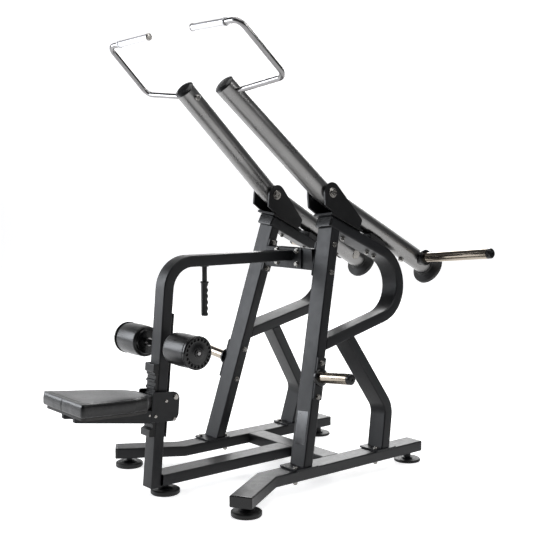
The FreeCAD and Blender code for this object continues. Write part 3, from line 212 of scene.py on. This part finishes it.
def satin(name, dark, light, low_rough, high_rough):
    """Smooth metallic lacquer with a slow change of tone and the finest grain."""
    g = Graph(name)
    cloud = g.noise(5.0, 3.0, 0.5)
    colour = g.blend(g.span(cloud, 0.3, 0.7), dark, light)
    rough = g.span(g.noise(16.0, 4.0, 0.6), 0.3, 0.7, low_rough, high_rough)
    normal = g.bump(g.noise(700.0, 2.0, 0.6), 0.00003, 0.25)
    return g.finish(colour, rough, normal, Metallic=1.0)


def moulded(name, dark, light, low_rough, high_rough, grain_scale=900.0, depth=0.00025):
    """Moulded rubber or plastic: pebbled skin, dusty patches, rims made paler by a painted
    highlight.
    """
    g = Graph(name)
    grain = g.cells(grain_scale, "F1")
    dust = g.noise(18.0, 5.0, 0.7)
    colour = g.blend(g.span(dust, 0.42, 0.72), dark, light)
    # painted highlight: rims are blended toward three times the light colour
    edge, rounded = g.edge(0.0018)
    colour = g.blend(g.math("MULTIPLY", edge, 0.4), colour, tuple(3.0 * c for c in light))
    rough = g.span(dust, 0.3, 0.7, low_rough, high_rough)
    normal = g.bump(grain, depth, 0.5, rounded)
    return g.finish(colour, rough, normal, Specular_IOR_Level=0.36)


def leather(name, dark, light, low_rough, high_rough):
    """Grained upholstery: pebble cells broken by creases, with slow sheen changes."""
    g = Graph(name)
    warp = g.noise(90.0, 3.0, 0.6)
    pebble = g.span(g.cells(520.0), 0.0, 0.22)
    crease = g.noise(150.0, 6.0, 0.75)
    slow = g.noise(9.0, 4.0, 0.6)
    colour = g.blend(g.span(g.math("MULTIPLY", pebble, warp), 0.1, 0.6), dark, light)
    rough = g.span(g.math("ADD", slow, g.math("MULTIPLY", pebble, -0.25)), 0.1, 0.75,
                   low_rough, high_rough)
    height = g.math("ADD", pebble, g.math("MULTIPLY", crease, 0.9))
    normal = g.bump(height, 0.00018, 0.3)
    normal = g.bump(slow, 0.0005, 0.2, normal)
    return g.finish(colour, rough, normal, Specular_IOR_Level=0.40)


def plywood(name):
    """Dark stained board with a drawn fibre."""
    g = Graph(name)
    fibre = g.noise(60.0, 5.0, 0.7, (14.0, 1.0, 1.0))
    colour = g.blend(g.span(fibre, 0.35, 0.7), (0.010, 0.010, 0.010), (0.035, 0.032, 0.03))
    return g.finish(colour, g.span(fibre, 0.3, 0.7, 0.55, 0.8), g.bump(fibre, 0.0004, 0.5))


def plate(name):
    """Blank dark plate with a fine brushed face and a faint cloud in its lacquer."""
    g = Graph(name)
    lines = g.noise(420.0, 3.0, 0.7, (1.0, 1.0, 0.04))
    colour = g.blend(g.span(lines, 0.3, 0.7), (0.006, 0.006, 0.007), (0.014, 0.014, 0.016))
    rough = g.span(g.noise(24.0), 0.3, 0.7, 0.16, 0.3)
    return g.finish(colour, rough, g.bump(lines, 0.00004, 0.4), Coat_Weight=0.4,
                    Coat_Roughness=0.12)


MATERIALS = {
    # the last colour of each powder coat is its painted edge highlight, which also stands for
    # rubbed wear
    "frame_paint": powder_coat("frame_paint", (0.0036, 0.0039, 0.0048),
                               (0.0056, 0.0060, 0.0072), 0.34, 0.46, (0.034, 0.037, 0.043)),
    "black_paint": powder_coat("black_paint", (0.0028, 0.0028, 0.0031),
                               (0.0042, 0.0042, 0.0046), 0.30, 0.42, (0.022, 0.023, 0.025)),
    "lever_paint": satin("lever_paint", (0.190, 0.187, 0.184), (0.225, 0.222, 0.219),
                         0.26, 0.32),
    "black_rubber": moulded("black_rubber", (0.0036, 0.0036, 0.0036), (0.0090, 0.0090, 0.0090),
                            0.42, 0.58, 700.0, 0.00012),
    "black_plastic": moulded("black_plastic", (0.0025, 0.0025, 0.0028),
                             (0.0050, 0.0050, 0.0055), 0.18, 0.28, 1200.0, 0.00005),
    "chrome": brushed("chrome", (0.20, 0.195, 0.195), (0.26, 0.255, 0.255), 0.11, 0.18,
                      (1.0, 1.0, 1.0), 0.00001),
    "polished_steel": brushed("polished_steel", (0.27, 0.235, 0.190), (0.36, 0.315, 0.260),
                              0.11, 0.20, (0.03, 1.0, 1.0), 0.00002),
    "satin_aluminium": brushed("satin_aluminium", (0.56, 0.56, 0.57), (0.70, 0.70, 0.71),
                               0.36, 0.48, (6.0, 0.6, 0.6), 0.00008),
    "bolt_steel": brushed("bolt_steel", (0.20, 0.19, 0.18), (0.32, 0.31, 0.29), 0.20, 0.32,
                          (1.0, 1.0, 1.0), 0.00004),
    "upholstery": leather("upholstery", (0.0016, 0.0016, 0.0018), (0.0034, 0.0034, 0.0037),
                          0.27, 0.35),
    "grip_rubber": moulded("grip_rubber", (0.0030, 0.0030, 0.0032), (0.0060, 0.0060, 0.0065),
                           0.36, 0.50, 1000.0, 0.00012),
    "board": plywood("board"),
    "label": plate("label"),
}

WELD_GAP = 0.00001
CREASE_ANGLE = math.radians(32.0)

# smooth shading with hard creases; the CAD vertices stay where they are
slots = {entry["node"]: entry["material_slot"] for entry in frame["record"]["subparts"]}
for name, obj in nodes.items():
    obj.data.materials.clear()
    obj.data.materials.append(MATERIALS[slots[name]])
    custom = obj.data.attributes.get("custom_normal")
    if custom is not None:
        obj.data.attributes.remove(custom)
    for face in obj.data.polygons:
        face.use_smooth = True
        face.material_index = 0
    weld = obj.modifiers.new("weld", "WELD")
    weld.merge_threshold = WELD_GAP
    split = obj.modifiers.new("split", "EDGE_SPLIT")
    split.split_angle = CREASE_ANGLE


# ------------------------------------------------------------------ mesh tools


def new_piece(name, verts, faces, material, body):
    """Smooth-shaded mesh that rides on a body and carries a material slot."""
    mesh = bpy.data.meshes.new(name)
    mesh.from_pydata([tuple(v) for v in verts], [], faces)
    mesh.update()
    obj = bpy.data.objects.new(name, mesh)
    scene.collection.objects.link(obj)
    mesh.materials.append(MATERIALS[material])
    for face in mesh.polygons:
        face.use_smooth = True
    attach(obj, body)
    return obj


NO_SHAPE_RADIUS = 0.002


def lathe(name, place, profile, material, body, segments, shape=None):
    """Turned piece about the local Z of place; shape(angle, height, radius) adds to the radius."""
    verts, faces = [], []
    for radius, height in profile:
        for k in range(segments):
            angle = 2.0 * math.pi * k / segments
            shaped = shape and radius > NO_SHAPE_RADIUS
            r = radius + (shape(angle, height, radius) if shaped else 0.0)
            verts.append(place @ Vector((r * math.cos(angle), r * math.sin(angle), height)))
    for i in range(len(profile) - 1):
        for k in range(segments):
            a = i * segments + k
            b = i * segments + (k + 1) % segments
            faces.append((a, b, b + segments, a + segments))
    return new_piece(name, verts, faces, material, body)


def axis_place(point, axis):
    """Frame at point with its local Z along axis."""
    return Matrix.Translation(point) @ Vector(axis).to_track_quat("Z", "Y").to_matrix().to_4x4()


# ------------------------------------------------------------------ seat cushion

TILT = math.radians(-5.0)
seat_low, seat_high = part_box("seat_pad")
THICK = 0.058
seat_place = Matrix.Translation((0.0, seat_low[1] + THICK * math.sin(-TILT), seat_high[2])) \
    @ Matrix.Rotation(TILT, 4, "X")
seat_back = seat_place.inverted()
# outline of the cushion: x, y and corner radius, wide end first
seat_plan = [(-0.175, 0.0, 0.014), (0.175, 0.0, 0.014), (0.150, 0.157, 0.06),
             (0.134, 0.268, 0.06), (0.104, 0.352, 0.06), (0.062, 0.392, 0.03),
             (-0.062, 0.392, 0.03), (-0.104, 0.352, 0.06), (-0.134, 0.268, 0.06),
             (-0.150, 0.157, 0.06)]
OUTLINE_GAP = 0.007
VOXEL = 0.005
HELD_BAND = 0.006       # the cloth is held this far up from the underside
CLOTH_MOVE = 0.0014     # the farthest that the cloth may swell
CLOTH_PRESSURE = 1.5
CLOTH_FRAMES = 20
TOP_LIMIT = 0.004


def rounded_loop(corners, steps=7):
    """Closed outline through rounded corners, as evenly stepped points."""
    loop = []
    count = len(corners)
    for i, (x, y, radius) in enumerate(corners):
        here = Vector((x, y))
        a = (Vector(corners[i - 1][:2]) - here).normalized()
        b = (Vector(corners[(i + 1) % count][:2]) - here).normalized()
        half = a.angle(b) / 2.0
        middle = here + (a + b).normalized() * (radius / math.sin(half))
        first = here + a * (radius / math.tan(half)) - middle
        last = here + b * (radius / math.tan(half)) - middle
        for k in range(steps + 1):
            f = k / steps
            spoke = (first * (1 - f) + last * f).normalized() * radius
            loop.append(middle + spoke)
    return loop


def resample(loop, gap):
    """Loop with extra points, so that no step is much longer than gap."""
    out = []
    for i, p in enumerate(loop):
        q = loop[(i + 1) % len(loop)]
        n = max(1, int((q - p).length / gap))
        out += [p.lerp(q, k / n) for k in range(n)]
    return out


def inset(loop, depth):
    """Loop moved inward by depth along its own normals."""
    out = []
    n = len(loop)
    for i in range(n):
        t = (loop[(i + 1) % n] - loop[i - 1]).normalized()
        out.append(loop[i] + Vector((-t.y, t.x)) * depth)
    return out


edge_loop = resample(rounded_loop(seat_plan), OUTLINE_GAP)


def cushion_mesh():
    """Closed crowned cushion: flat underside, bellied sides, domed top."""
    levels = [(0.030, -THICK + 0.001), (0.005, -THICK + 0.001), (0.002, -THICK + 0.005),
              (0.001, -0.044), (0.0, -0.032), (0.0005, -0.020), (0.0015, -0.010),
              (0.0045, -0.0040), (0.012, -0.0018), (0.030, -0.0010), (0.050, -0.0006)]
    verts, faces = [], []
    n = len(edge_loop)
    for depth, height in levels:
        for p in inset(edge_loop, depth):
            verts.append(seat_place @ Vector((p.x, p.y, height)))
    for i in range(len(levels) - 1):
        for k in range(n):
            a, b = i * n + k, i * n + (k + 1) % n
            faces.append((a, b, b + n, a + n))
    top = (len(levels) - 1) * n
    faces.append(tuple(range(top, top + n)))
    faces.append(tuple(reversed(range(n))))
    return verts, faces


verts, faces = cushion_mesh()
seat = new_piece("seat_cushion", verts, faces, "upholstery", "seat")


def apply_all(obj):
    """Bakes the modifiers of obj into its mesh."""
    graph = bpy.context.evaluated_depsgraph_get()
    baked = bpy.data.meshes.new_from_object(obj.evaluated_get(graph))
    obj.modifiers.clear()
    old = obj.data
    obj.data = baked
    bpy.data.meshes.remove(old)


remesh = seat.modifiers.new("remesh", "REMESH")
remesh.mode = "VOXEL"
remesh.voxel_size = VOXEL
apply_all(seat)
rest = [v.co.copy() for v in seat.data.vertices]
held = seat.vertex_groups.new(name="held")
for i, co in enumerate(rest):
    local = seat_back @ co
    if local.z < -THICK + HELD_BAND:
        held.add([i], 1.0, "REPLACE")
cloth = seat.modifiers.new("cloth", "CLOTH")
cloth.settings.use_pressure = True
cloth.settings.uniform_pressure_force = CLOTH_PRESSURE
cloth.settings.effector_weights.gravity = 0.0
cloth.settings.vertex_group_mass = "held"
cloth.settings.quality = 5
for number in range(1, CLOTH_FRAMES + 1):
    scene.frame_set(number)
apply_all(seat)
scene.frame_set(1)
moves = [v.co - start for v, start in zip(seat.data.vertices, rest)]
longest = max(move.length for move in moves)
share = min(1.0, CLOTH_MOVE / max(0.000001, longest))
for v, start, move in zip(seat.data.vertices, rest, moves):
    v.co = start + move * share


def loop_distance(x, y):
    """Distance from the cushion's outline, by every second point of it."""
    best = 1.0
    for i in range(0, len(edge_loop), 2):
        p = edge_loop[i]
        best = min(best, (p.x - x) ** 2 + (p.y - y) ** 2)
    return math.sqrt(best)


def cover_shape(obj):
    """Presses the top seam and the front stitch into the cover and adds soft puckers."""
    for v in obj.data.vertices:
        local = seat_back @ v.co
        depth = loop_distance(local.x, local.y)
        along = math.atan2(local.y - 0.19, local.x)
        if local.z > -0.020 and depth < 0.05:
            ridge = math.exp(-((depth - 0.016) / 0.0035) ** 2)
            fade = math.exp(-((depth - 0.026) / 0.010) ** 2)
            pucker = 0.0004 * math.sin(along * 46.0) * fade
            local.z += -0.0012 * ridge + pucker
        if local.y < 0.030 and -THICK + 0.004 < local.z < -0.006:
            local.y += 0.0020 * math.exp(-(local.x / 0.0026) ** 2)
        if local.z < -0.012 and depth < 0.012:
            ripple = noise.noise(Vector((along * 7.0, local.z * 14.0, 1.0)))
            middle = (Vector((0.0, 0.19)) - Vector((local.x, local.y))).normalized()
            local.x += middle.x * 0.0006 * ripple
            local.y += middle.y * 0.0006 * ripple
        if local.z > -0.02:
            wave = noise.noise(Vector((local.x * 9.0, local.y * 9.0, 3.0)))
            dip = math.exp(-((local.x / 0.09) ** 2 + ((local.y - 0.15) / 0.11) ** 2))
            local.z += 0.0008 * wave - 0.0016 * dip
        local.z = min(local.z, TOP_LIMIT)
        v.co = seat_place @ local


detail = seat.modifiers.new("smooth", "SUBSURF")
detail.levels = 1
apply_all(seat)
cover_shape(seat)
for face in seat.data.polygons:
    face.use_smooth = True
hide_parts("seat_pad")


WELT_RADIUS = 0.0021
WELT_SIDES = 8


def cord_loop(name, points, radius, material, body, sides):
    """Thin welt swept round a closed loop of points."""
    verts, faces = [], []
    n = len(points)
    for i, p in enumerate(points):
        along = (points[(i + 1) % n] - points[i - 1]).normalized()
        side = along.orthogonal().normalized() if abs(along.z) > 0.99 \
            else along.cross(Vector((0, 0, 1))).normalized()
        up = side.cross(along)
        for k in range(sides):
            a = 2 * math.pi * k / sides
            verts.append(p + side * (radius * math.cos(a)) + up * (radius * math.sin(a)))
    for i in range(n):
        for k in range(sides):
            a = i * sides + k
            b = i * sides + (k + 1) % sides
            c = ((i + 1) % n) * sides
            faces.append((a, b, c + (k + 1) % sides, c + k))
    return new_piece(name, verts, faces, material, body)


welt = [seat_place @ Vector((p.x, p.y, -0.0045)) for p in inset(edge_loop, 0.0040)]
cord_loop("seat_welt", welt, WELT_RADIUS, "upholstery", "seat", WELT_SIDES)

# ------------------------------------------------------------------ thigh rollers

ROLLER_BORE = 0.0135
ROLLER_STEPS = 26
ROLLER_SEGMENTS = 240
SEAM_ANGLE = 4.1
PLEATS = 34.0
END_REACH = 0.016       # how far the pleats run in from each end

for word, hand in (("right", 1.0), ("left", -1.0)):
    low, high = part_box("thigh_roller_" + word)
    centre_y, centre_z = (low[1] + high[1]) / 2.0, (low[2] + high[2]) / 2.0
    radius = (high[2] - low[2]) / 2.0
    length = high[0] - low[0]
    near = low[0] if hand > 0 else high[0]
    place = axis_place(Vector((near, centre_y, centre_z)), (hand, 0, 0))
    profile = [(ROLLER_BORE, 0.0), (radius - 0.022, 0.0), (radius - 0.010, 0.0015),
               (radius - 0.004, 0.005)]
    for k in range(ROLLER_STEPS + 1):
        f = k / ROLLER_STEPS
        belly = 0.0022 * math.sin(math.pi * f)
        profile.append((radius - 0.0028 + belly, 0.010 + f * (length - 0.018)))
    profile += [(radius - 0.006, length - 0.003), (radius - 0.012, length),
                (ROLLER_BORE, length)]

    def cover(angle, height, r, length=length, radius=radius):
        if r < radius - 0.008:
            return 0.0
        near_end = math.exp(-(height / END_REACH) ** 2) \
            + math.exp(-((length - height) / END_REACH) ** 2)
        pleat = 0.0004 * near_end * math.sin(angle * PLEATS)
        seam = -0.0024 * math.exp(-((angle - SEAM_ANGLE) / 0.022) ** 2)
        spot = Vector((math.cos(angle) * 3, math.sin(angle) * 3, height * 30))
        return pleat + seam + 0.0003 * noise.noise(spot)

    roller = lathe("roller_cover_" + word, place, profile, "upholstery", "roller_" + word,
                   ROLLER_SEGMENTS, cover)
    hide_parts("thigh_roller_" + word)

# black washers round the bright screws in the ends of the roller axle
washer = [(0.0094, 0.0002), (0.0094, 0.0040), (0.0105, 0.0048), (0.0162, 0.0048),
          (0.0175, 0.0040), (0.0175, 0.0002), (0.0094, 0.0002)]
for word, hand in (("right", 1.0), ("left", -1.0)):
    low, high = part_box("roller_caps_" + word)
    face = high[0] if hand > 0 else low[0]
    middle = Vector((face, (low[1] + high[1]) / 2.0, (low[2] + high[2]) / 2.0))
    lathe("axle_washer_" + word, axis_place(middle, (hand, 0, 0)), washer, "black_plastic",
          "frame", 64)

# ------------------------------------------------------------------ hanging grip

GRIP_RADIUS = 0.0160
GRIP_START = 0.006      # the finger grooves begin this far above the lower end
GRIP_FACING = math.radians(60.0)
GROOVE_PITCH = 0.0272
GROOVE_DEPTH = 0.0042

low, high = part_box("hanging_grip")
grip_place = Matrix.Translation(((low[0] + high[0]) / 2.0, (low[1] + high[1]) / 2.0, low[2]))
tall = high[2] - low[2]
grip_profile = [(0.0085, 0.0), (0.0130, 0.0), (0.0150, 0.002), (GRIP_RADIUS, GRIP_START)]
grip_profile += [(GRIP_RADIUS, GRIP_START + k * 0.0022) for k in range(1, 63)]
grip_profile += [(GRIP_RADIUS, tall - 0.010), (0.0185, tall - 0.008), (0.0190, tall - 0.004),
                 (0.0185, tall), (0.0085, tall)]


def fingers(angle, height, r):
    """Finger grooves down one side of the grip, on its straight part only."""
    if abs(r - GRIP_RADIUS) > 0.0005:
        return 0.0
    facing = max(0.0, math.cos(angle - GRIP_FACING))
    wave = 0.5 - 0.5 * math.cos(2 * math.pi * (height - GRIP_START) / GROOVE_PITCH)
    return -GROOVE_DEPTH * facing ** 0.7 * wave


grip = lathe("finger_grip", grip_place, grip_profile, "grip_rubber", "frame", 72, fingers)
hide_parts("hanging_grip")

# black lacquer over the chrome rod and its top flange
rod_low, rod_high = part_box("hanging_rod")
rod_place = Matrix.Translation(((rod_low[0] + rod_high[0]) / 2.0,
                                (rod_low[1] + rod_high[1]) / 2.0, 0.0))
sleeve = [(0.0113, high[2] + 0.0008), (0.0113, rod_high[2] - 0.0045),
          (0.0202, rod_high[2] - 0.0043), (0.0202, rod_high[2] - 0.0001)]
lathe("rod_lacquer", rod_place, sleeve, "black_paint", "frame", 64)

# ------------------------------------------------------------------ stage and light

FLOOR_REACH = 14.0
FLOOR_END = 7.0
SWEEP_RADIUS = 3.0
SWEEP_STEPS = 12
BACKDROP_TOP = 9.0


def stage_mesh():
    """Pale floor that curves up into a backdrop on the side away from the camera."""
    forward = Vector((ahead.x, ahead.y, 0.0)).normalized()
    profile = [(-FLOOR_REACH, 0.0), (FLOOR_END, 0.0)]
    for k in range(1, SWEEP_STEPS + 1):
        a = math.pi / 2 * k / SWEEP_STEPS
        profile.append((FLOOR_END + SWEEP_RADIUS * math.sin(a),
                        SWEEP_RADIUS - SWEEP_RADIUS * math.cos(a)))
    profile.append((FLOOR_END + SWEEP_RADIUS, BACKDROP_TOP))
    verts, faces = [], []
    for along, height in profile:
        for across in (-FLOOR_REACH, FLOOR_REACH):
            p = forward * along + right * across
            verts.append((p.x, p.y, height))
    for i in range(len(profile) - 1):
        faces.append((2 * i, 2 * i + 1, 2 * i + 3, 2 * i + 2))
    return verts, faces


g = Graph("studio_floor")
tone = g.noise(0.7, 3.0, 0.5)
floor_colour = g.blend(g.span(tone, 0.3, 0.7), (0.86, 0.86, 0.865), (0.90, 0.90, 0.90))
floor_mat = g.finish(floor_colour, g.span(g.noise(40.0), 0.3, 0.7, 0.62, 0.75),
                     g.bump(g.noise(300.0), 0.0002, 0.2), Specular_IOR_Level=0.2,
                     Emission_Color=(1.0, 1.0, 1.0, 1.0), Emission_Strength=0.62)
verts, faces = stage_mesh()
mesh = bpy.data.meshes.new("studio")
mesh.from_pydata(verts, [], faces)
mesh.materials.append(floor_mat)
for face in mesh.polygons:
    face.use_smooth = True
studio = bpy.data.objects.new("studio", mesh)
scene.collection.objects.link(studio)

world = bpy.data.worlds.new("studio_world")
world.use_nodes = True
background = world.node_tree.nodes["Background"]
background.inputs["Color"].default_value = (0.93, 0.95, 1.0, 1.0)
background.inputs["Strength"].default_value = 0.10
scene.world = world


def area(name, spot, aim, wide, tall, watts, colour=(1.0, 1.0, 1.0)):
    """Soft rectangular light at spot, turned towards aim."""
    data = bpy.data.lights.new(name, "AREA")
    data.shape = "RECTANGLE"
    data.size = wide
    data.size_y = tall
    data.energy = watts
    data.color = colour
    obj = bpy.data.objects.new(name, data)
    obj.location = spot
    obj.rotation_euler = (Vector(aim) - Vector(spot)).to_track_quat("-Z", "Y").to_euler()
    scene.collection.objects.link(obj)


area("key", (-3.7, -3.5, 2.2), (0.0, -0.2, 0.9), 2.6, 2.8, 200.0, (0.92, 0.95, 1.0))
area("rim", (4.2, 2.2, 4.6), (0.0, 0.2, 1.2), 0.8, 3.0, 110.0)
area("top", (0.0, 0.0, 5.6), (0.0, 0.0, 0.0), 5.0, 5.0, 150.0)
area("back", (-4.0, 4.6, 3.4), (0.0, 0.4, 1.0), 3.0, 3.0, 180.0)

scene.view_settings.view_transform = "Standard"
scene.view_settings.exposure = 0.0
